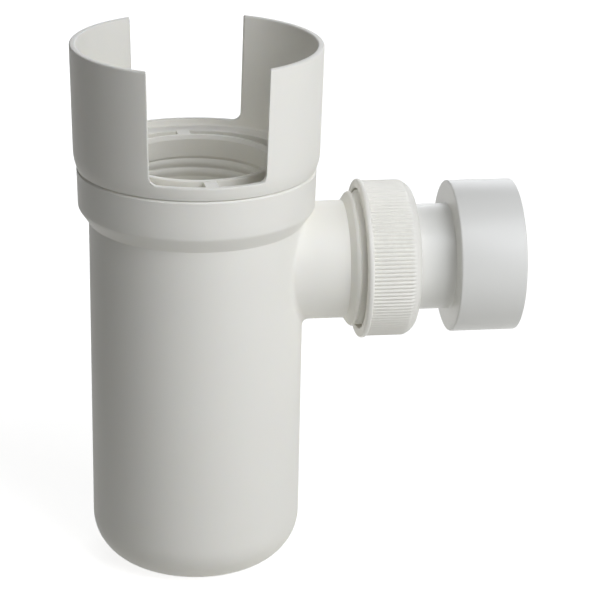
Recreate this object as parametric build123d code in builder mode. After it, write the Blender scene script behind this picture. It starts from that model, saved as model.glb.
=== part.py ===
"""Bottle-trap tundish: a slotted cup on a water-seal bottle with a compression outlet.

Millimetres, +Z up. The origin is the centre of the bottle's flat base, the vertical axis is the
bottle's axis, and the outlet arm points along +X. The cup's two slots face -Y and +Y.
"""
import os
from math import pi
from build123d import *

os.makedirs("parts", exist_ok=True)

# Inlet collar inside the cup, and the dip tube that hangs from it
inlet_bore_d = 43.0
inlet_wall = 2.5
inlet_depth = 16.0
inlet_lip_h = 2.3
inlet_chamfer = 1.0
dip_stop_w = 2.1
dip_stop_h = 1.5
dip_socket_h = 9.5
dip_wall = 2.0
dip_gap = 0.1
water_seal = 50.0

# Pocket, spigot and sealing ring between the inlet collar and the bottle
pocket_w = 4.65
pocket_floor_h = 2.0
spigot_back_wall = 1.6
ring_d = 2.8
ring_sides = 8
ring_gap = 0.1
ring_groove_play = 0.6
push_gap = 0.3
seam_gap = 0.3

# Bottle: a tapered pot with a wider socket collar on top
collar_wall = 1.9
collar_bore_depth = 9.2
collar_h = 11.6
collar_flare = 0.3
collar_cone_h = 4.6
collar_step = 3.15
collar_round = 2.0
collar_chamfer = 0.5
shoulder_w = 1.65
shoulder_rise = 3.0
pot_h = 108.8
pot_wall = 2.2
pot_draft = 0.25
pot_corner_r = 14.1

# Cup walls above the seam
cup_h = 36.9
cup_wall = 2.0
cup_overhang = 0.95
cup_foot_inset = 0.15
cup_foot_h = 5.7
cup_flare = 0.7
ledge_h = 1.9
rim_chamfer = 0.35
slot_floor_h = 4.0
slot_low_w = 33.1
slot_top_w = 34.6
slot_corner_r = 2.5
rib_w = 3.8
rib_drop = 0.2
rib_turn = 3.3

# Side branch and its compression joint on the outlet tube
tube_d = 32.0
tube_wall = 1.9
tube_slip = 0.25
tube_insert = 24.0
outlet_drop = 14.5
branch_wall = 1.55
branch_len = 12.05
branch_root_r = 2.0
flare_len = 1.8
flare_h = 2.6
flare_rim_w = 1.1
flare_rim_chamfer = 0.4
seal_gap = 0.15
seal_nose_w = 0.75
seal_big_w = 2.5
seal_cone_len = 8.2
seal_flange_h = 2.2
stub_wall = 1.1
thread_h = 1.0
seat_gap = 0.1

# Union nut and slip washer
thread_play = 0.35
nut_wall = 2.35
nut_len = 16.6
nut_end_wall = 2.6
nut_mouth_gap = 1.45
nut_mouth_chamfer = 0.5
nut_hole_gap = 0.4
nut_shoulder_r = 3.5
bead_h = 0.5
bead_len = 1.8
bead_step = 0.12
ridge_count = 120
ridge_h = 0.5
ridge_land = 0.3
washer_h = 1.4
washer_gap = 0.2

# Outlet adapter socket
socket_pipe_d = 40.0
socket_slip = 0.1
socket_wall = 2.9
socket_depth = 17.0
socket_floor = 3.0
socket_chamfer = 0.5
tube_reach = 11.3

# Radii worked out from the inlet collar outwards
inlet_r = inlet_bore_d / 2
inlet_outer_r = inlet_r + inlet_wall
dip_r = inlet_r - dip_gap
dip_inner_r = dip_r - dip_wall
dip_stop_r = inlet_r - dip_stop_w
pocket_r = inlet_outer_r + pocket_w
groove_r = pocket_r + spigot_back_wall
collar_bore_r = groove_r + ring_d + 2 * ring_gap
spigot_r = collar_bore_r - push_gap
collar_low_r = collar_bore_r + collar_wall
collar_top_r = collar_low_r + collar_flare
pot_r = collar_low_r - collar_step
pot_base_r = pot_r - pot_draft
pot_inner_r = pot_r - pot_wall
cup_low_r = collar_top_r + cup_overhang
cup_foot_r = collar_top_r - cup_foot_inset
cup_rim_r = cup_low_r + cup_flare
cup_inner_r = cup_low_r - cup_wall

# Heights worked out from the base upwards
collar_cone_z = pot_h + collar_cone_h
collar_top_z = collar_cone_z + collar_h
collar_floor_z = collar_top_z - collar_bore_depth
cup_z = collar_top_z + seam_gap
rim_z = cup_z + cup_h
spigot_z = collar_floor_z + push_gap
pocket_floor_z = spigot_z + pocket_floor_h
ledge_z = cup_z + ledge_h
lip_z = cup_z + inlet_lip_h
thread_end_z = lip_z - inlet_depth
dip_top_z = thread_end_z - dip_stop_h
inlet_foot_z = dip_top_z - dip_socket_h
ring_z = (spigot_z + cup_z) / 2
outlet_z = pot_h - outlet_drop

# Radii about the outlet axis
tube_r = tube_d / 2
tube_inner_r = tube_r - tube_wall
branch_bore_r = tube_r + tube_slip
branch_r = branch_bore_r + branch_wall
seal_inner_r = tube_r + seal_gap
seal_nose_r = seal_inner_r + seal_nose_w
seal_big_r = seal_inner_r + seal_big_w
flare_r = branch_r + flare_h
stub_r = seal_big_r + seat_gap + stub_wall
crest_r = stub_r + thread_h
nut_bore_r = crest_r + thread_play
nut_r = nut_bore_r + nut_wall
nut_root_r = nut_r - ridge_h
bead_r = nut_r + bead_h
nut_hole_r = tube_r + nut_hole_gap
socket_bore_r = socket_pipe_d / 2 + socket_slip
socket_r = socket_bore_r + socket_wall

# Places along the outlet axis, from the bottle outwards
flare_x = pot_r + branch_len
rim_x = flare_x + flare_len
stub_x = rim_x + flare_rim_w
nut_x = stub_x + nut_mouth_gap
nut_end_x = nut_x + nut_len
washer_x = nut_end_x - nut_end_wall - washer_gap - washer_h
seal_end_x = washer_x - washer_gap
stub_end_x = seal_end_x - seal_flange_h - seat_gap
tube_x = stub_end_x - tube_insert
socket_x = nut_end_x + tube_reach
socket_floor_x = socket_x + socket_floor
socket_end_x = socket_floor_x + socket_depth
dip_end_z = outlet_z - tube_inner_r - water_seal

# The outlet pieces are drawn in XZ and turned about this axis
outlet_axis = Axis((0, 0, outlet_z), (1, 0, 0))


# Bottle body: pot, socket collar and threaded branch as one moulding
with BuildPart() as bottle_body:
    with BuildSketch(Plane.XZ):
        with BuildLine():
            Polyline(
                (0, 0),
                (pot_base_r, 0),
                (pot_base_r + pot_draft * collar_top_z / pot_h, collar_top_z),
                (0, collar_top_z),
                close=True,
            )
        make_face()
    revolve(axis=Axis.Z)
    corner = bottle_body.edges().filter_by(GeomType.CIRCLE).group_by(Axis.Z)[0]
    fillet(corner, pot_corner_r)
    with BuildSketch(Plane.YZ):
        with Locations((0, outlet_z)):
            Circle(branch_r)
    extrude(amount=flare_x)
    root = bottle_body.edges().filter_by(
        lambda edge: edge.geom_type not in (GeomType.CIRCLE, GeomType.LINE))
    fillet(root, branch_root_r)
    with BuildSketch(Plane.XZ):
        with BuildLine():
            Polyline(
                (0, pot_h),
                (pot_r, pot_h),
                (collar_low_r, collar_cone_z),
                (collar_top_r, collar_top_z),
                (0, collar_top_z),
                close=True,
            )
        make_face()
    revolve(axis=Axis.Z)
    cone_top = bottle_body.edges().filter_by(GeomType.CIRCLE).filter_by(
        lambda edge: abs(edge.radius - collar_low_r) < collar_flare / 2)
    fillet(cone_top, collar_round)
    with BuildSketch(Plane.XZ) as branch:
        with BuildLine():
            Polyline(
                (pot_inner_r, outlet_z),
                (pot_inner_r, outlet_z + branch_bore_r),
                (flare_x, outlet_z + branch_r),
                (rim_x, outlet_z + flare_r),
                (stub_x, outlet_z + flare_r),
                (stub_x, outlet_z + stub_r),
                (stub_end_x, outlet_z + stub_r),
                (stub_end_x, outlet_z),
                close=True,
            )
        make_face()
        chamfer(branch.vertices().group_by(Axis.Y)[-1], flare_rim_chamfer)
    revolve(axis=outlet_axis)
    with BuildSketch(Plane.XZ) as cavity:
        with BuildLine():
            Polyline(
                (0, pot_wall),
                (pot_base_r - pot_wall, pot_wall),
                (pot_inner_r, collar_floor_z - shoulder_rise),
                (collar_bore_r - shoulder_w, collar_floor_z),
                (collar_bore_r, collar_floor_z),
                (collar_bore_r, collar_top_z),
                (0, collar_top_z),
                close=True,
            )
        make_face()
        inner_corner = cavity.vertices().group_by(Axis.Y)[0].sort_by(Axis.X)[-1]
        fillet(inner_corner, pot_corner_r - pot_wall)
    revolve(axis=Axis.Z, mode=Mode.SUBTRACT)
    with BuildSketch(Plane.XZ):
        with BuildLine():
            Polyline(
                (pot_inner_r - pot_wall, outlet_z),
                (pot_inner_r - pot_wall, outlet_z + branch_bore_r),
                (stub_end_x - seal_cone_len, outlet_z + branch_bore_r),
                (stub_end_x - seal_cone_len, outlet_z + seal_nose_r + seat_gap),
                (stub_end_x, outlet_z + seal_big_r + seat_gap),
                (stub_end_x, outlet_z),
                close=True,
            )
        make_face()
    revolve(axis=outlet_axis, mode=Mode.SUBTRACT)
    mouth = bottle_body.edges().filter_by(GeomType.CIRCLE).group_by(Axis.Z)[-1]
    chamfer(mouth, collar_chamfer)
bottle_body.part.label = "bottle_body"
export_step(bottle_body.part, "parts/bottle_body.step")


# Cup: slotted walls, ledge, ringed spigot and ribbed inlet collar as one moulding
with BuildPart() as cup:
    with BuildSketch(Plane.XZ):
        with BuildLine():
            foot = (cup_foot_r, cup_z)
            shank = (cup_low_r, cup_z + cup_foot_h)
            TangentArc(shank, foot, tangent=(0, -1))
            Polyline(
                shank,
                (cup_rim_r, rim_z - rim_chamfer),
                (cup_rim_r - rim_chamfer, rim_z),
                (cup_rim_r - cup_wall + rim_chamfer, rim_z),
                (cup_rim_r - cup_wall, rim_z - rim_chamfer),
                (cup_inner_r, ledge_z),
                (pocket_r, ledge_z),
                (pocket_r, pocket_floor_z),
                (inlet_outer_r, pocket_floor_z),
                (inlet_outer_r, lip_z),
                (inlet_r + inlet_chamfer, lip_z),
                (inlet_r, lip_z - inlet_chamfer),
                (inlet_r, thread_end_z),
                (dip_stop_r, thread_end_z),
                (dip_stop_r, dip_top_z),
                (inlet_r, dip_top_z),
                (inlet_r, inlet_foot_z),
                (inlet_outer_r, inlet_foot_z),
                (inlet_outer_r, spigot_z),
                (spigot_r, spigot_z),
                (spigot_r, cup_z),
                foot,
            )
        make_face()
    revolve(axis=Axis.Z)
    with BuildSketch(Plane.XZ):
        with Locations(((groove_r + collar_bore_r) / 2, ring_z)):
            Rectangle(collar_bore_r - groove_r, ring_d + ring_groove_play)
    revolve(axis=Axis.Z, mode=Mode.SUBTRACT)
    with BuildSketch(Plane.XY.offset(pocket_floor_z)):
        with PolarLocations((inlet_outer_r + pocket_r) / 2, 2, start_angle=rib_turn - 90):
            Rectangle(pocket_w + spigot_back_wall, rib_w)
    extrude(amount=lip_z - rib_drop - pocket_floor_z)
    with BuildSketch(Plane.XZ) as slot:
        with BuildLine():
            Polyline(
                (-slot_low_w / 2, cup_z + slot_floor_h),
                (slot_low_w / 2, cup_z + slot_floor_h),
                (slot_top_w / 2, rim_z),
                (slot_top_w / 2, rim_z + cup_wall),
                (-slot_top_w / 2, rim_z + cup_wall),
                (-slot_top_w / 2, rim_z),
                close=True,
            )
        make_face()
        fillet(slot.vertices().group_by(Axis.Y)[0], slot_corner_r)
    extrude(amount=cup_rim_r + cup_wall, both=True, mode=Mode.SUBTRACT)
cup.part.label = "cup"
export_step(cup.part, "parts/cup.step")


# Dip tube: pushed up into the inlet collar, ends under water
with BuildPart() as dip_tube:
    with BuildSketch(Plane.XY.offset(dip_end_z)):
        Circle(dip_r)
        Circle(dip_inner_r, mode=Mode.SUBTRACT)
    extrude(amount=dip_top_z - dip_end_z)
dip_tube.part.label = "dip_tube"
export_step(dip_tube.part, "parts/dip_tube.step")


# Sealing ring in the spigot's groove
with BuildPart() as cup_ring:
    with BuildSketch(Plane.XZ):
        with Locations((groove_r + ring_gap + ring_d / 2, ring_z)):
            RegularPolygon(ring_d / 2, ring_sides)
    revolve(axis=Axis.Z)
cup_ring.part.label = "cup_ring"
export_step(cup_ring.part, "parts/cup_ring.step")


# Union nut: smooth bead at the mouth, ridged grip, rounded smooth end
ridge_pitch = 2 * pi * nut_r / ridge_count
with BuildPart() as union_nut:
    with BuildSketch(Plane.XZ):
        with BuildLine():
            bead_start = (nut_x, outlet_z + nut_root_r)
            bead_top = (nut_x + bead_len / 2, outlet_z + bead_r)
            bead_end = (nut_x + bead_len, outlet_z + nut_r + bead_step)
            shoulder_start = (nut_end_x - nut_shoulder_r, outlet_z + nut_root_r)
            shoulder_end = (nut_end_x, outlet_z + nut_root_r - nut_shoulder_r)
            ThreePointArc(bead_start, bead_top, bead_end)
            Polyline(bead_end, (nut_x + bead_len, outlet_z + nut_root_r), shoulder_start)
            RadiusArc(shoulder_start, shoulder_end, nut_shoulder_r)
            Polyline(
                shoulder_end,
                (nut_end_x, outlet_z + nut_hole_r),
                (nut_end_x - nut_end_wall, outlet_z + nut_hole_r),
                (nut_end_x - nut_end_wall, outlet_z + nut_bore_r),
                (nut_x + nut_mouth_chamfer, outlet_z + nut_bore_r),
                (nut_x, outlet_z + nut_bore_r + nut_mouth_chamfer),
                bead_start,
            )
        make_face()
    revolve(axis=outlet_axis)
    with BuildSketch(Plane.YZ.offset(nut_x + bead_len)):
        with Locations((0, outlet_z)):
            with PolarLocations(nut_root_r, ridge_count):
                Polygon(
                    (-ridge_h, -ridge_pitch / 2),
                    (0, -ridge_pitch / 2),
                    (ridge_h, -ridge_land / 2),
                    (ridge_h, ridge_land / 2),
                    (0, ridge_pitch / 2),
                    (-ridge_h, ridge_pitch / 2),
                    align=None,
                )
    extrude(amount=nut_len - bead_len - nut_shoulder_r)
union_nut.part.label = "union_nut"
export_step(union_nut.part, "parts/union_nut.step")


# Slip washer between the nut's end wall and the seal
with BuildPart() as slip_washer:
    with BuildSketch(Plane.YZ.offset(washer_x)):
        with Locations((0, outlet_z)):
            Circle(stub_r)
            Circle(tube_r + tube_slip, mode=Mode.SUBTRACT)
    extrude(amount=washer_h)
slip_washer.part.label = "slip_washer"
export_step(slip_washer.part, "parts/slip_washer.step")


# Cone seal wedged between the branch mouth and the tube
with BuildPart() as cone_seal:
    with BuildSketch(Plane.XZ):
        with BuildLine():
            Polyline(
                (stub_end_x - seal_cone_len + seat_gap, outlet_z + seal_inner_r),
                (stub_end_x - seal_cone_len + seat_gap, outlet_z + seal_nose_r),
                (stub_end_x, outlet_z + seal_big_r),
                (stub_end_x + seat_gap, outlet_z + seal_big_r),
                (stub_end_x + seat_gap, outlet_z + stub_r),
                (seal_end_x, outlet_z + stub_r),
                (seal_end_x, outlet_z + seal_inner_r),
                close=True,
            )
        make_face()
    revolve(axis=outlet_axis)
cone_seal.part.label = "cone_seal"
export_step(cone_seal.part, "parts/cone_seal.step")


# Outlet adapter: plain tube with a socket for the next pipe size
with BuildPart() as outlet_adapter:
    with BuildSketch(Plane.XZ):
        with BuildLine():
            Polyline(
                (tube_x, outlet_z + tube_inner_r),
                (tube_x, outlet_z + tube_r),
                (socket_x, outlet_z + tube_r),
                (socket_x, outlet_z + socket_r),
                (socket_end_x, outlet_z + socket_r),
                (socket_end_x, outlet_z + socket_bore_r),
                (socket_floor_x, outlet_z + socket_bore_r),
                (socket_floor_x, outlet_z + tube_inner_r),
                close=True,
            )
        make_face()
    revolve(axis=outlet_axis)
    socket_edges = outlet_adapter.edges().filter_by(GeomType.CIRCLE).filter_by(
        lambda edge: edge.radius > socket_bore_r + socket_wall / 2)
    chamfer(socket_edges, socket_chamfer)
outlet_adapter.part.label = "outlet_adapter"
export_step(outlet_adapter.part, "parts/outlet_adapter.step")
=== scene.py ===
"""Dresses the bottle-trap tundish: matte white mouldings, a grey pipe adapter, threads and seals."""
import math

import bmesh
import bpy
from mathutils import Matrix, Vector


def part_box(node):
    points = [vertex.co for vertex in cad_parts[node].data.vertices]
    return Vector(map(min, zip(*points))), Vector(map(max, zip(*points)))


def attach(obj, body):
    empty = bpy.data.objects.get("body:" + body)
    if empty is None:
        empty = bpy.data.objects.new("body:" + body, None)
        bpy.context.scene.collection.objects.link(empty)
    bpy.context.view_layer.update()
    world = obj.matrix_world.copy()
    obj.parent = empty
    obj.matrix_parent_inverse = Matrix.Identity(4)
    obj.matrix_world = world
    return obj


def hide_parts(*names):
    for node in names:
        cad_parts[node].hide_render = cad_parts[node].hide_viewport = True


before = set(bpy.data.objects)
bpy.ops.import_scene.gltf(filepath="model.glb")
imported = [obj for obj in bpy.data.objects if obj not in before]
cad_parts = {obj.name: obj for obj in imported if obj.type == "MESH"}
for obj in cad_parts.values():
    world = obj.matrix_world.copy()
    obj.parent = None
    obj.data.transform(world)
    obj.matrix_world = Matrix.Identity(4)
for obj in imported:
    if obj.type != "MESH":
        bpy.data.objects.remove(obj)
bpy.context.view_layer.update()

MM = 0.001
WELD = 0.002 * MM
TURN_STEPS = 192
CUP_STEPS = 240
KEEN_EDGE = 35
BOTTLE_KEEN_EDGE = 20
STRAIGHT = math.radians(178)
OUTLET_AXIS = Vector((1, 0, 0))
UP = Vector((0, 0, 1))

# Sizes read from the frame, in metres
BOTTLE_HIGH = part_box("bottle_body")[1]
CUP_LOW, CUP_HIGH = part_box("cup")
NUT_LOW, NUT_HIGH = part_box("union_nut")
ADAPTER_LOW, ADAPTER_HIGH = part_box("outlet_adapter")
DIP_LOW, DIP_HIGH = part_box("dip_tube")
RING_LOW, RING_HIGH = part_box("cup_ring")
WASHER_LOW, WASHER_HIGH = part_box("slip_washer")
SEAL_LOW, SEAL_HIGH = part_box("cone_seal")
OUTLET_Z = (ADAPTER_LOW[2] + ADAPTER_HIGH[2]) / 2


# Shaping helpers

def rounded(corners, steps=5):
    """Turns closed corners (along, out, fillet) into points, with an arc at each filleted corner."""
    points = []
    count = len(corners)
    for index, (along, out, fillet) in enumerate(corners):
        here = Vector((along, out))
        before = Vector(corners[index - 1][:2]) - here
        after = Vector(corners[(index + 1) % count][:2]) - here
        turn = before.angle(after)
        if fillet == 0 or turn > STRAIGHT:
            points.append(here)
            continue
        before.normalize()
        after.normalize()
        reach = fillet / math.tan(turn / 2)
        centre = here + (before + after).normalized() * fillet / math.sin(turn / 2)
        first = here + before * reach - centre
        last = here + after * reach - centre
        sweep = first.angle_signed(last)
        for step in range(steps + 1):
            points.append(centre + Matrix.Rotation(-sweep * step / steps, 2) @ first)
    return points


def piece(name, bm, body, material, replaced=None, keen=KEEN_EDGE):
    """Closes a bmesh into an object that rides on a body and may stand for a node."""
    mesh = bpy.data.meshes.new(name)
    bm.to_mesh(mesh)
    bm.free()
    inherited = mesh.attributes.get("custom_normal")
    if inherited:
        mesh.attributes.remove(inherited)
    mesh.shade_smooth()
    mesh.set_sharp_from_angle(angle=math.radians(keen))
    obj = bpy.data.objects.new(name, mesh)
    bpy.context.scene.collection.objects.link(obj)
    mesh.materials.append(material)
    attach(obj, body)
    if replaced:
        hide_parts(replaced)


def turned(points, axis, steps=TURN_STEPS):
    """Spins closed points (along the axis, out from it) into a ring-shaped bmesh."""
    bm = bmesh.new()
    if axis == UP:
        verts = [bm.verts.new((out, 0, along)) for along, out in points]
        centre = Vector()
    else:
        verts = [bm.verts.new((along, 0, OUTLET_Z + out)) for along, out in points]
        centre = Vector((0, 0, OUTLET_Z))
    edges = [bm.edges.new((verts[i - 1], verts[i])) for i in range(len(verts))]
    bmesh.ops.spin(bm, geom=verts + edges, cent=centre, axis=axis, angle=2 * math.pi, steps=steps,
                   use_merge=True)
    bmesh.ops.recalc_face_normals(bm, faces=bm.faces)
    return bm


THREAD_STEPS = 72
THREAD_FADE_STEPS = THREAD_STEPS // 4
THREAD_SINK = 0.1 * MM


def helix(name, body, material, root, crest, pitch, turns, foot, tip, start, axis, phase=0):
    """A thread ridge: one section carried round the axis by a screw motion, fading out at both ends.

    Its foot is sunk a little into the wall that carries it, so that no gap shows.
    """
    total = int(turns * THREAD_STEPS)
    base = root + (THREAD_SINK if crest < root else -THREAD_SINK)
    section = [(-foot / 2, base), (-tip / 2, crest), (tip / 2, crest), (foot / 2, base)]
    bm = bmesh.new()
    verts = [bm.verts.new((out, 0, start + along)) for along, out in section]
    loop = [bm.edges.new((verts[i - 1], verts[i])) for i in range(len(verts))]
    first = loop
    rings = [verts]
    step_turn = Matrix.Rotation(2 * math.pi / THREAD_STEPS, 3, "Z")
    for step in range(total):
        grown = bmesh.ops.extrude_edge_only(bm, edges=loop)["geom"]
        verts = [item for item in grown if isinstance(item, bmesh.types.BMVert)]
        loop = [edge for edge in grown if isinstance(edge, bmesh.types.BMEdge)
                and edge.verts[0] in verts and edge.verts[1] in verts]
        bmesh.ops.rotate(bm, cent=(0, 0, 0), matrix=step_turn, verts=verts)
        bmesh.ops.translate(bm, vec=(0, 0, pitch / THREAD_STEPS), verts=verts)
        rings.append(verts)
    for index, ring in enumerate(rings):
        fade = min(index, total - index, THREAD_FADE_STEPS) / THREAD_FADE_STEPS
        for vert in ring:
            out = Vector((vert.co.x, vert.co.y)).length
            faded = base + (out - base) * fade
            vert.co.x *= faded / out
            vert.co.y *= faded / out
    bmesh.ops.edgeloop_fill(bm, edges=first)
    bmesh.ops.edgeloop_fill(bm, edges=loop)
    phase_turn = Matrix.Rotation(math.radians(phase), 3, "Z")
    bmesh.ops.rotate(bm, cent=(0, 0, 0), matrix=phase_turn, verts=bm.verts)
    if axis != UP:
        laid_down = Matrix.Rotation(math.radians(90), 4, "Y")
        bmesh.ops.transform(bm, matrix=Matrix.Translation((0, 0, OUTLET_Z)) @ laid_down, verts=bm.verts)
    bmesh.ops.recalc_face_normals(bm, faces=bm.faces)
    piece(name, bm, body, material)


# Materials

CLOUD_SCALE = 45
GRAIN_HEIGHT = 0.05 * MM
GLOSS_BELOW = 0.04
GLOSS_ABOVE = 0.06
CARRIED_LIGHT = (1.0, 0.8, 0.5)
CARRIED_DEPTH = 1.2 * MM


def moulded(name, colour, shade, roughness, grain, grain_depth, subsurface=0.0):
    """A moulded plastic: faint cloudy tone, fine surface grain, a little light carried inside."""
    material = bpy.data.materials.new(name)
    material.use_nodes = True
    nodes = material.node_tree.nodes
    links = material.node_tree.links
    shader = nodes["Principled BSDF"]
    place = nodes.new("ShaderNodeTexCoord")
    cloud = nodes.new("ShaderNodeTexNoise")
    cloud.inputs["Scale"].default_value = CLOUD_SCALE
    cloud.inputs["Detail"].default_value = 3
    tone = nodes.new("ShaderNodeMix")
    tone.data_type = "RGBA"
    tone.inputs["A"].default_value = (*colour, 1)
    tone.inputs["B"].default_value = (*shade, 1)
    links.new(place.outputs["Object"], cloud.inputs["Vector"])
    links.new(cloud.outputs["Fac"], tone.inputs["Factor"])
    links.new(tone.outputs["Result"], shader.inputs["Base Color"])
    pores = nodes.new("ShaderNodeTexNoise")
    pores.inputs["Scale"].default_value = grain
    pores.inputs["Detail"].default_value = 4
    bump = nodes.new("ShaderNodeBump")
    bump.inputs["Strength"].default_value = grain_depth
    bump.inputs["Distance"].default_value = GRAIN_HEIGHT
    links.new(place.outputs["Object"], pores.inputs["Vector"])
    links.new(pores.outputs["Fac"], bump.inputs["Height"])
    links.new(bump.outputs["Normal"], shader.inputs["Normal"])
    gloss = nodes.new("ShaderNodeMapRange")
    gloss.inputs["To Min"].default_value = roughness - GLOSS_BELOW
    gloss.inputs["To Max"].default_value = roughness + GLOSS_ABOVE
    links.new(cloud.outputs["Fac"], gloss.inputs["Value"])
    links.new(gloss.outputs["Result"], shader.inputs["Roughness"])
    shader.inputs["Subsurface Weight"].default_value = subsurface
    shader.inputs["Subsurface Radius"].default_value = CARRIED_LIGHT
    shader.inputs["Subsurface Scale"].default_value = CARRIED_DEPTH
    return material


WHITE = moulded("white_plastic", colour=(0.945, 0.928, 0.862), shade=(0.935, 0.916, 0.848),
                roughness=0.52, grain=2600, grain_depth=0.2, subsurface=0.08)
NUT_WHITE = moulded("nut_plastic", colour=(0.945, 0.928, 0.866), shade=(0.935, 0.916, 0.852),
                    roughness=0.48, grain=2600, grain_depth=0.08)
PIPE_GREY = moulded("pipe_plastic", colour=(0.85, 0.845, 0.805), shade=(0.835, 0.83, 0.793),
                    roughness=0.33, grain=1800, grain_depth=0.1)
RUBBER = moulded("black_rubber", colour=(0.022, 0.022, 0.022), shade=(0.03, 0.03, 0.03),
                 roughness=0.62, grain=1500, grain_depth=0.4)


# Cup, with its inlet collar

CUP_Z = BOTTLE_HIGH[2] + 0.3 * MM
RIM_Z = CUP_HIGH[2]
RIM_R = CUP_HIGH[0]
CUP_WALL = 2.0 * MM
CUP_LOW_R = RIM_R - 0.7 * MM
FOOT_R = CUP_LOW_R - 1.1 * MM
FOOT_H = 5.7 * MM
FOOT_STEPS = 8
LEDGE_Z = CUP_Z + 1.9 * MM
LIP_Z = CUP_Z + 2.3 * MM
LIP_CHAMFER = 1.0 * MM
INLET_R = 21.5 * MM
INLET_OUTER_R = 24.0 * MM
INLET_FOOT_Z = CUP_LOW[2]
POCKET_R = 28.65 * MM
SPIGOT_R = 32.95 * MM
SPIGOT_Z = CUP_Z - 9.2 * MM
POCKET_FLOOR_Z = SPIGOT_Z + 2.0 * MM
GROOVE_R = RING_HIGH[0] - 2.9 * MM
GROOVE_LOW_Z = RING_LOW[2] - 0.3 * MM
GROOVE_HIGH_Z = RING_HIGH[2] + 0.3 * MM
DIP_TOP_Z = DIP_HIGH[2]
STOP_R = 19.4 * MM
STOP_TOP_Z = DIP_TOP_Z + 1.5 * MM

INLET_ROOT_R = 22.05 * MM
INLET_CREST_R = INLET_R + 0.06 * MM
INLET_PITCH = 3.0 * MM
INLET_TURNS = 2.58
INLET_THREAD_FOOT = 2.95 * MM
INLET_THREAD_TIP = 1.1 * MM
INLET_THREAD_Z = LIP_Z - 14.35 * MM
INLET_THREAD_PHASE = 108
THREAD_TOP_Z = LIP_Z - 6.4 * MM
THREAD_RUNOUT = 0.9 * MM

SLOT_FLOOR_Z = CUP_Z + 4.0 * MM
SLOT_LOW_HALF = 16.55 * MM
SLOT_TOP_HALF = 17.3 * MM
SLOT_CORNER = 2.5 * MM
SLOT_CORNER_STEPS = 8
SLOT_EDGE = 0.42 * MM
SLOT_EDGE_STEPS = 4
SLOT_KEEN_EDGE = math.radians(40)
SLOT_MARGIN = 0.05 * MM

RIB_W = 3.8 * MM
RIB_TOP_Z = LIP_Z - 0.2 * MM
RIB_TURN = math.radians(3.3)
RIB_BITE = 0.8 * MM
RIB_SINK = 0.3 * MM


def foot_arc():
    """The cup's outer foot: an arc that leaves the wall tangent and tucks in at the seam."""
    tuck = CUP_LOW_R - FOOT_R
    bend = (FOOT_H ** 2 + tuck ** 2) / (2 * tuck)
    points = []
    for step in range(FOOT_STEPS + 1):
        below = FOOT_H * (1 - step / FOOT_STEPS)
        out = CUP_LOW_R - bend + math.sqrt(bend ** 2 - below ** 2)
        points.append(Vector((CUP_Z + FOOT_H - below, out)))
    return points


def cup_outline():
    """The cup's closed section: wall, ledge, pocket, inlet collar and grooved spigot."""
    return foot_arc() + rounded([
        (RIM_Z, RIM_R, 0.5 * MM),
        (RIM_Z, RIM_R - CUP_WALL, 0.5 * MM),
        (LEDGE_Z, CUP_LOW_R - CUP_WALL, 0.8 * MM),
        (LEDGE_Z, POCKET_R, 0.3 * MM),
        (POCKET_FLOOR_Z, POCKET_R, 0.4 * MM),
        (POCKET_FLOOR_Z, INLET_OUTER_R, 0.4 * MM),
        (LIP_Z, INLET_OUTER_R, 0.4 * MM),
        (LIP_Z, INLET_R + LIP_CHAMFER, 0.3 * MM),
        (LIP_Z - LIP_CHAMFER, INLET_R, 0.4 * MM),
        (THREAD_TOP_Z, INLET_R, 0.6 * MM),
        (THREAD_TOP_Z - THREAD_RUNOUT, INLET_ROOT_R, 0.4 * MM),
        (STOP_TOP_Z, INLET_ROOT_R, 0.3 * MM),
        (STOP_TOP_Z, STOP_R, 0.3 * MM),
        (DIP_TOP_Z, STOP_R, 0),
        (DIP_TOP_Z, INLET_R, 0),
        (INLET_FOOT_Z, INLET_R, 0.3 * MM),
        (INLET_FOOT_Z, INLET_OUTER_R, 0.4 * MM),
        (SPIGOT_Z, INLET_OUTER_R, 0.6 * MM),
        (SPIGOT_Z, SPIGOT_R, 0.6 * MM),
        (GROOVE_LOW_Z, SPIGOT_R, 0.2 * MM),
        (GROOVE_LOW_Z, GROOVE_R, 0.2 * MM),
        (GROOVE_HIGH_Z, GROOVE_R, 0.2 * MM),
        (GROOVE_HIGH_Z, SPIGOT_R, 0.2 * MM),
        (CUP_Z, SPIGOT_R, 0),
    ])


def rib(side):
    """A rib across the pocket, at a turn about the cup's axis."""
    low = Vector((-RIB_W / 2, -(POCKET_R + RIB_BITE), POCKET_FLOOR_Z - RIB_SINK))
    high = Vector((RIB_W / 2, -(INLET_OUTER_R - RIB_BITE), RIB_TOP_Z))
    bm = bmesh.new()
    bmesh.ops.create_cube(bm, size=1)
    bmesh.ops.scale(bm, vec=high - low, verts=bm.verts)
    bmesh.ops.translate(bm, vec=(low + high) / 2, verts=bm.verts)
    bmesh.ops.rotate(bm, cent=(0, 0, 0), matrix=Matrix.Rotation(RIB_TURN + side, 3, "Z"), verts=bm.verts)
    return bm


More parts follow.
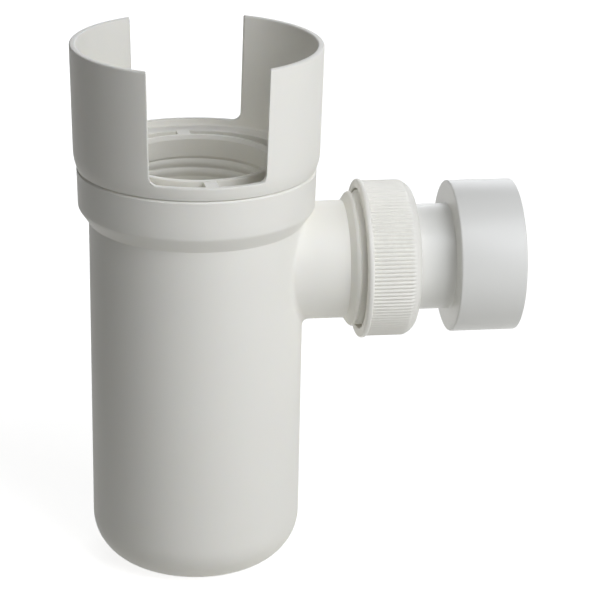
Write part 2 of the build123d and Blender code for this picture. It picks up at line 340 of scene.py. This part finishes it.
def slot_cutter():
    """One bar that cuts the front and the back slot together."""
    above = RIM_Z + CUP_WALL
    outline = rounded([
        (-SLOT_LOW_HALF, SLOT_FLOOR_Z, SLOT_CORNER),
        (SLOT_LOW_HALF, SLOT_FLOOR_Z, SLOT_CORNER),
        (SLOT_TOP_HALF, RIM_Z, 0),
        (SLOT_TOP_HALF, above, 0),
        (-SLOT_TOP_HALF, above, 0),
        (-SLOT_TOP_HALF, RIM_Z, 0),
    ], steps=SLOT_CORNER_STEPS)
    reach = RIM_R + CUP_WALL
    bm = bmesh.new()
    face = bm.faces.new([bm.verts.new((x, -reach, z)) for x, z in outline])
    far = bmesh.ops.extrude_face_region(bm, geom=[face])["geom"]
    far_verts = [item for item in far if isinstance(item, bmesh.types.BMVert)]
    bmesh.ops.translate(bm, vec=(0, 2 * reach, 0), verts=far_verts)
    bmesh.ops.recalc_face_normals(bm, faces=bm.faces)
    return bm


def work_object(name, bm):
    """A throw-away object for a boolean."""
    mesh = bpy.data.meshes.new(name)
    bm.to_mesh(mesh)
    bm.free()
    obj = bpy.data.objects.new(name, mesh)
    bpy.context.scene.collection.objects.link(obj)
    return obj


def combined(bm, tools):
    """Joins or cuts a bmesh with (mode, tool bmesh) pairs and returns the result as a new bmesh."""
    base = work_object("work", bm)
    helpers = []
    for mode, other in tools:
        helper = work_object("work_tool", other)
        helpers.append(helper)
        step = base.modifiers.new("step", "BOOLEAN")
        step.operation = mode
        step.solver = "EXACT"
        step.object = helper
    view = bpy.context.evaluated_depsgraph_get()
    done = bpy.data.meshes.new_from_object(base.evaluated_get(view))
    result = bmesh.new()
    result.from_mesh(done)
    for obj in [base, *helpers]:
        bpy.data.objects.remove(obj)
    bpy.data.meshes.remove(done)
    return result


def make_cup():
    """Turns the cup, adds its two ribs, cuts the slots and softens the slots' edges."""
    tools = [("UNION", rib(0)), ("UNION", rib(math.pi)), ("DIFFERENCE", slot_cutter())]
    bm = combined(turned(cup_outline(), UP, CUP_STEPS), tools)
    bmesh.ops.remove_doubles(bm, verts=bm.verts, dist=WELD)
    edges = [edge for edge in bm.edges
             if len(edge.link_faces) == 2 and edge.calc_face_angle() > SLOT_KEEN_EDGE
             and min(vert.co.z for vert in edge.verts) > SLOT_FLOOR_Z - SLOT_MARGIN
             and max(abs(vert.co.x) for vert in edge.verts) < SLOT_TOP_HALF + SLOT_MARGIN]
    bmesh.ops.bevel(bm, geom=edges, offset=SLOT_EDGE, offset_type="OFFSET", segments=SLOT_EDGE_STEPS,
                    profile=0.5, affect="EDGES", clamp_overlap=False, material=-1)
    piece("cup_walls", bm, "cup", WHITE, "cup")


make_cup()
helix("inlet_thread", "cup", WHITE, root=INLET_ROOT_R, crest=INLET_CREST_R,
      pitch=INLET_PITCH, turns=INLET_TURNS, foot=INLET_THREAD_FOOT, tip=INLET_THREAD_TIP,
      start=INLET_THREAD_Z, axis=UP, phase=INLET_THREAD_PHASE)


# Dip tube and the seals

RING_CLEARANCE = 0.1 * MM
RING_ROUND = 1.3 * MM
DIP_ROUND = 0.4 * MM
SLIP_HOLE_R = 16.25 * MM
SLIP_ROUND = 0.3 * MM
TUBE_R = 16.0 * MM
TUBE_INNER_R = 14.1 * MM
SEAL_INNER_R = 16.15 * MM
SEAL_NOSE_R = 16.9 * MM
SEAL_BIG_R = 18.65 * MM
SEAL_STEP_X = SEAL_HIGH[0] - 2.2 * MM
STUB_R = 19.85 * MM


def make_ring(name, body, node, low, high, inner, edge, material, axis):
    """A plain turned ring or tube with softened edges, between two places along its axis."""
    along = 2 if axis == UP else 0
    outer = (high[1] - low[1]) / 2
    outline = rounded([
        (high[along], outer, edge),
        (high[along], inner, edge),
        (low[along], inner, edge),
        (low[along], outer, edge),
    ])
    piece(name, turned(outline, axis), body, material, node)


def make_taper_seal():
    """The rubber seal: a tapered nose inside the stub and a flange in front of it."""
    outline = rounded([
        (SEAL_LOW[0], SEAL_INNER_R, 0.15 * MM),
        (SEAL_LOW[0], SEAL_NOSE_R, 0.3 * MM),
        (SEAL_STEP_X, SEAL_BIG_R, 0.1 * MM),
        (SEAL_STEP_X, STUB_R, 0.4 * MM),
        (SEAL_HIGH[0], STUB_R, 0.4 * MM),
        (SEAL_HIGH[0], SEAL_INNER_R, 0.15 * MM),
    ])
    piece("taper_seal", turned(outline, OUTLET_AXIS), "bottle", RUBBER, "cone_seal")


make_ring("dip_pipe", "cup", "dip_tube", DIP_LOW, DIP_HIGH, STOP_R, DIP_ROUND,
          WHITE, UP)
make_ring("cup_seal_ring", "ring", "cup_ring", RING_LOW, RING_HIGH, GROOVE_R + RING_CLEARANCE, RING_ROUND,
          RUBBER, UP)
make_ring("slip_ring", "washer", "slip_washer", WASHER_LOW, WASHER_HIGH, SLIP_HOLE_R, SLIP_ROUND,
          NUT_WHITE, OUTLET_AXIS)
make_taper_seal()


# Union nut

NUT_X = NUT_LOW[0]
NUT_END_X = NUT_HIGH[0]
NUT_BORE_R = 21.2 * MM
NUT_HOLE_R = 16.4 * MM
NUT_END_WALL = 2.6 * MM
NUT_ROOT_R = NUT_HIGH[1] - 1.0 * MM
SHOULDER_R = 3.5 * MM
SHOULDER_STEPS = 14
BEAD_END_X = NUT_X + 1.8 * MM
BEAD_STEPS = 8
GRIP_GAP = 0.02 * MM
GRIP_END_X = NUT_END_X - SHOULDER_R
RIDGES = 120
RIDGE_H = 0.5 * MM
RIDGE_LAND = 0.24
RIDGE_END_X = NUT_END_X - 1.6 * MM
# Turn within one ridge pitch and share of the ridge's height: a root, then three points of the land
RIDGE_PLACES = ((-0.5, 0), (-RIDGE_LAND / 2, 1), (0, 1), (RIDGE_LAND / 2, 1))


def nut_outline():
    """The nut's closed section: bead, grip, rounded shoulder, end wall and bore."""
    bead_r = NUT_ROOT_R + 2 * RIDGE_H
    outline = rounded([
        (NUT_X, NUT_ROOT_R, 0),
        (NUT_X, bead_r, 0.8 * MM),
        (BEAD_END_X, bead_r, 0.75 * MM),
        (BEAD_END_X, NUT_ROOT_R, 0),
    ], steps=BEAD_STEPS)
    outline += [Vector((BEAD_END_X + GRIP_GAP, NUT_ROOT_R)), Vector((GRIP_END_X, NUT_ROOT_R))]
    for step in range(1, SHOULDER_STEPS + 1):
        angle = math.pi / 2 * step / SHOULDER_STEPS
        outline.append(Vector((GRIP_END_X + SHOULDER_R * math.sin(angle),
                               NUT_ROOT_R - SHOULDER_R * (1 - math.cos(angle)))))
    # The last corner repeats the first one, so that the arc before it knows where to go
    outline += rounded([
        (NUT_END_X, NUT_ROOT_R - SHOULDER_R - 0.3 * MM, 0),
        (NUT_END_X, NUT_HOLE_R, 0.4 * MM),
        (NUT_END_X - NUT_END_WALL, NUT_HOLE_R, 0.3 * MM),
        (NUT_END_X - NUT_END_WALL, NUT_BORE_R, 0.3 * MM),
        (NUT_X, NUT_BORE_R, 0.5 * MM),
        (NUT_X, NUT_ROOT_R, 0),
    ])[:-1]
    return outline


def raise_ridges(bm):
    """Draws the grip's spun points into ridges, which fade out on the shoulder."""
    samples = len(RIDGE_PLACES)
    for vert in bm.verts:
        spoke = Vector((vert.co.y, vert.co.z - OUTLET_Z))
        out = spoke.length
        on_grip = BEAD_END_X + GRIP_GAP / 2 < vert.co.x < RIDGE_END_X
        if not on_grip or out < NUT_BORE_R + 0.1 * MM:
            continue
        fade = min(1, (RIDGE_END_X - vert.co.x) / (RIDGE_END_X - GRIP_END_X))
        count = round(math.atan2(spoke.y, spoke.x) / (2 * math.pi) * RIDGES * samples)
        turn, height = RIDGE_PLACES[count % samples]
        angle = (count // samples + turn) * 2 * math.pi / RIDGES
        out += RIDGE_H * fade * height
        vert.co.y = out * math.cos(angle)
        vert.co.z = OUTLET_Z + out * math.sin(angle)


def make_nut():
    """Turns the nut and ridges its grip."""
    bm = turned(nut_outline(), OUTLET_AXIS, RIDGES * len(RIDGE_PLACES))
    raise_ridges(bm)
    bmesh.ops.recalc_face_normals(bm, faces=bm.faces)
    piece("ridged_nut", bm, "nut", NUT_WHITE, "union_nut")


make_nut()


# Outlet adapter

SOCKET_R = ADAPTER_HIGH[1]
SOCKET_BORE_R = SOCKET_R - 2.9 * MM
SOCKET_FLOOR_X = ADAPTER_HIGH[0] - 17.0 * MM
SOCKET_X = SOCKET_FLOOR_X - 3.0 * MM


def make_adapter():
    """The outlet tube with its pipe socket."""
    outline = rounded([
        (ADAPTER_LOW[0], TUBE_INNER_R, 0.3 * MM),
        (ADAPTER_LOW[0], TUBE_R, 0.4 * MM),
        (SOCKET_X, TUBE_R, 0.5 * MM),
        (SOCKET_X, SOCKET_R, 0.6 * MM),
        (ADAPTER_HIGH[0], SOCKET_R, 0.5 * MM),
        (ADAPTER_HIGH[0], SOCKET_BORE_R, 0.5 * MM),
        (SOCKET_FLOOR_X, SOCKET_BORE_R, 0.4 * MM),
        (SOCKET_FLOOR_X, TUBE_INNER_R, 0.4 * MM),
    ])
    piece("socket_adapter", turned(outline, OUTLET_AXIS), "adapter", PIPE_GREY,
          "outlet_adapter")


make_adapter()


# Bottle, and the union's two threads

UNION_PITCH = 2.309 * MM
UNION_TIP = 0.5 * MM
BRANCH_THREAD_X = BOTTLE_HIGH[0] - 10.2 * MM
BRANCH_THREAD_H = 0.9 * MM
BRANCH_THREAD_FOOT = 1.9 * MM
BRANCH_TURNS = 3.9
NUT_THREAD_X = BRANCH_THREAD_X + 1.5 * UNION_PITCH
NUT_THREAD_H = 1.0 * MM
NUT_THREAD_FOOT = 1.8 * MM
NUT_TURNS = 4.2


def make_bottle():
    """The bottle's own solid, merged and shaded with crisp edges."""
    bm = bmesh.new()
    bm.from_mesh(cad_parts["bottle_body"].data)
    bmesh.ops.remove_doubles(bm, verts=bm.verts, dist=WELD)
    piece("bottle_shell", bm, "bottle", WHITE, "bottle_body", keen=BOTTLE_KEEN_EDGE)


make_bottle()
helix("branch_thread", "bottle", WHITE, root=STUB_R, crest=STUB_R + BRANCH_THREAD_H,
      pitch=UNION_PITCH, turns=BRANCH_TURNS, foot=BRANCH_THREAD_FOOT, tip=UNION_TIP,
      start=BRANCH_THREAD_X, axis=OUTLET_AXIS)
helix("nut_thread", "nut", NUT_WHITE, root=NUT_BORE_R, crest=NUT_BORE_R - NUT_THREAD_H,
      pitch=UNION_PITCH, turns=NUT_TURNS, foot=NUT_THREAD_FOOT, tip=UNION_TIP,
      start=NUT_THREAD_X, axis=OUTLET_AXIS)

for node, material in (("bottle_body", WHITE), ("cup", WHITE), ("dip_tube", WHITE), ("cup_ring", RUBBER),
                       ("union_nut", NUT_WHITE), ("slip_washer", NUT_WHITE), ("cone_seal", RUBBER),
                       ("outlet_adapter", PIPE_GREY)):
    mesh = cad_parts[node].data
    mesh.materials.clear()
    mesh.materials.append(material)


# Stage, light and camera

VIEW_AZIMUTH = -8.34
VIEW_ELEVATION = 20.55
VIEW_ROLL = math.radians(1.07)
VIEW_DISTANCE = 708.2 * MM
VIEW_AIM = Vector((0, 0, 80 * MM))
VIEW_RIGHT = 31.24 * MM
VIEW_RISE = 2.31 * MM
LENS = 140.77
SENSOR = 36

LIGHT_AIM = Vector((0.03, 0, 0.08))
LIGHT_COLOUR = (0.965, 0.985, 1.03)
# Name, azimuth, elevation (degrees), power (watts), size, distance (metres)
LIGHTS = (
    ("key_high", 38, 45, 2.55, 0.55, 0.8),
    ("key_low", 36, 18, 1.95, 0.55, 0.8),
    ("front", -2, 52, 0.62, 0.4, 0.8),
    ("back", 164, 22, 6.8, 1.1, 1.6),
)

FLOOR_RADIUS = 6
FLOOR_COLOUR = (0.68, 0.672, 0.638, 1)
GLOW_NEAR_AT = 0.1
GLOW_FAR_AT = 0.6
GLOW_NEAR = 0.84
GLOW_FAR = 1.0
ROOM_LIGHT = 0.02


def towards(azimuth, elevation):
    """Direction from the trap, in degrees. Azimuth 0 is in front, positive towards the outlet."""
    turn = math.radians(azimuth)
    rise = math.radians(elevation)
    return Vector((math.sin(turn) * math.cos(rise), -math.cos(turn) * math.cos(rise), math.sin(rise)))


def place_camera():
    """The photograph's view: a long lens in front of the slot, a little to the left, looking down."""
    back = towards(VIEW_AZIMUTH, VIEW_ELEVATION)
    turn = math.radians(VIEW_AZIMUTH)
    right = Vector((math.cos(turn), math.sin(turn), 0))
    up = back.cross(right)
    tilted_right = right * math.cos(VIEW_ROLL) + up * math.sin(VIEW_ROLL)
    tilted_up = up * math.cos(VIEW_ROLL) - right * math.sin(VIEW_ROLL)
    centre = VIEW_AIM + tilted_right * VIEW_RIGHT + tilted_up * VIEW_RISE + back * VIEW_DISTANCE
    data = bpy.data.cameras.new("camera")
    data.sensor_width = SENSOR
    data.lens = LENS
    data.clip_start = 0.01
    data.clip_end = 50
    camera = bpy.data.objects.new("camera", data)
    facing = Matrix((tilted_right, tilted_up, back)).transposed()
    camera.matrix_world = Matrix.Translation(centre) @ facing.to_4x4()
    bpy.context.scene.collection.objects.link(camera)
    bpy.context.scene.camera = camera


def soft_light(name, azimuth, elevation, power, size, distance):
    """A square soft box facing the trap."""
    away = towards(azimuth, elevation)
    data = bpy.data.lights.new(name, "AREA")
    data.size = size
    data.energy = power
    data.color = LIGHT_COLOUR
    light = bpy.data.objects.new(name, data)
    facing = away.to_track_quat("Z", "Y").to_matrix().to_4x4()
    light.matrix_world = Matrix.Translation(LIGHT_AIM + away * distance) @ facing
    bpy.context.scene.collection.objects.link(light)


def seen_rays(tree):
    """1 for rays that show the surroundings: straight, in a reflection or through glass."""
    sight = tree.nodes.new("ShaderNodeLightPath")
    straight_or_glossy = tree.nodes.new("ShaderNodeMath")
    straight_or_glossy.operation = "MAXIMUM"
    any_seen = tree.nodes.new("ShaderNodeMath")
    any_seen.operation = "MAXIMUM"
    tree.links.new(sight.outputs["Is Camera Ray"], straight_or_glossy.inputs[0])
    tree.links.new(sight.outputs["Is Glossy Ray"], straight_or_glossy.inputs[1])
    tree.links.new(straight_or_glossy.outputs["Value"], any_seen.inputs[0])
    tree.links.new(sight.outputs["Is Transmission Ray"], any_seen.inputs[1])
    return any_seen.outputs["Value"]


def make_floor():
    """A pale floor that reads as white to the camera, darkened only where the trap shades it."""
    bm = bmesh.new()
    bmesh.ops.create_circle(bm, cap_ends=True, radius=FLOOR_RADIUS, segments=96)
    mesh = bpy.data.meshes.new("floor")
    bm.to_mesh(mesh)
    bm.free()
    floor = bpy.data.objects.new("floor", mesh)
    bpy.context.scene.collection.objects.link(floor)
    material = bpy.data.materials.new("floor_white")
    material.use_nodes = True
    nodes = material.node_tree.nodes
    links = material.node_tree.links
    shader = nodes["Principled BSDF"]
    shader.inputs["Base Color"].default_value = FLOOR_COLOUR
    shader.inputs["Roughness"].default_value = 0.9
    shader.inputs["Specular IOR Level"].default_value = 0.0
    glow = nodes.new("ShaderNodeEmission")
    place = nodes.new("ShaderNodeTexCoord")
    away = nodes.new("ShaderNodeVectorMath")
    away.operation = "LENGTH"
    sweep = nodes.new("ShaderNodeMapRange")
    sweep.inputs["From Min"].default_value = GLOW_NEAR_AT
    sweep.inputs["From Max"].default_value = GLOW_FAR_AT
    sweep.inputs["To Min"].default_value = GLOW_NEAR
    sweep.inputs["To Max"].default_value = GLOW_FAR
    links.new(place.outputs["Object"], away.inputs[0])
    links.new(away.outputs["Value"], sweep.inputs["Value"])
    links.new(sweep.outputs["Result"], glow.inputs["Strength"])
    lift = nodes.new("ShaderNodeAddShader")
    choose = nodes.new("ShaderNodeMixShader")
    links.new(shader.outputs["BSDF"], lift.inputs[0])
    links.new(glow.outputs["Emission"], lift.inputs[1])
    links.new(seen_rays(material.node_tree), choose.inputs["Fac"])
    links.new(shader.outputs["BSDF"], choose.inputs[1])
    links.new(lift.outputs["Shader"], choose.inputs[2])
    links.new(choose.outputs["Shader"], nodes["Material Output"].inputs["Surface"])
    mesh.materials.append(material)


def make_world():
    """Soft room light, pure white where the camera looks past the floor."""
    world = bpy.data.worlds.new("room")
    world.use_nodes = True
    bpy.context.scene.world = world
    nodes = world.node_tree.nodes
    links = world.node_tree.links
    room = nodes["Background"]
    room.inputs["Color"].default_value = (1, 1, 1, 1)
    room.inputs["Strength"].default_value = ROOM_LIGHT
    behind = nodes.new("ShaderNodeBackground")
    behind.inputs["Strength"].default_value = 1.0
    choose = nodes.new("ShaderNodeMixShader")
    links.new(seen_rays(world.node_tree), choose.inputs["Fac"])
    links.new(room.outputs["Background"], choose.inputs[1])
    links.new(behind.outputs["Background"], choose.inputs[2])
    links.new(choose.outputs["Shader"], nodes["World Output"].inputs["Surface"])


place_camera()
make_floor()
make_world()
for light in LIGHTS:
    soft_light(*light)

bpy.context.scene.view_settings.view_transform = "Standard"
